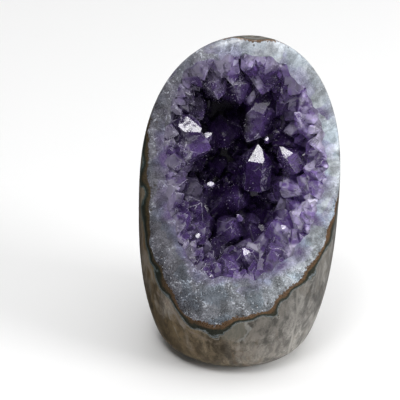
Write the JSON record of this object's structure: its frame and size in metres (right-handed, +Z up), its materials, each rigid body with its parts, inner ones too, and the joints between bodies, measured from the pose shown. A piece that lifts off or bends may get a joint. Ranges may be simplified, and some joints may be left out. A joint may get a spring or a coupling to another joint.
{
  "type": "cut-base amethyst druse",
  "caption": "Standing cut-base geode: a polished rock cup whose sloping front opens on a quartz crust lined with violet crystals.",
  "frame": {"origin": "centre of the sawn base, which is the bottom centre of the object's box", "axes": "+Z up, the sloping polished front with the hollow towards -Y, +X to the right as seen from the front"},
  "size_m": [0.075, 0.0623, 0.124],
  "materials": {
    "rock": "polished mottled basalt and agate, grey-brown",
    "crystal": "vitreous amethyst points on milky polished quartz"
  },
  "bodies": {
    "root": {"stone_body": "rock", "crystal_crust": "crystal"}
  },
  "joints": []
}
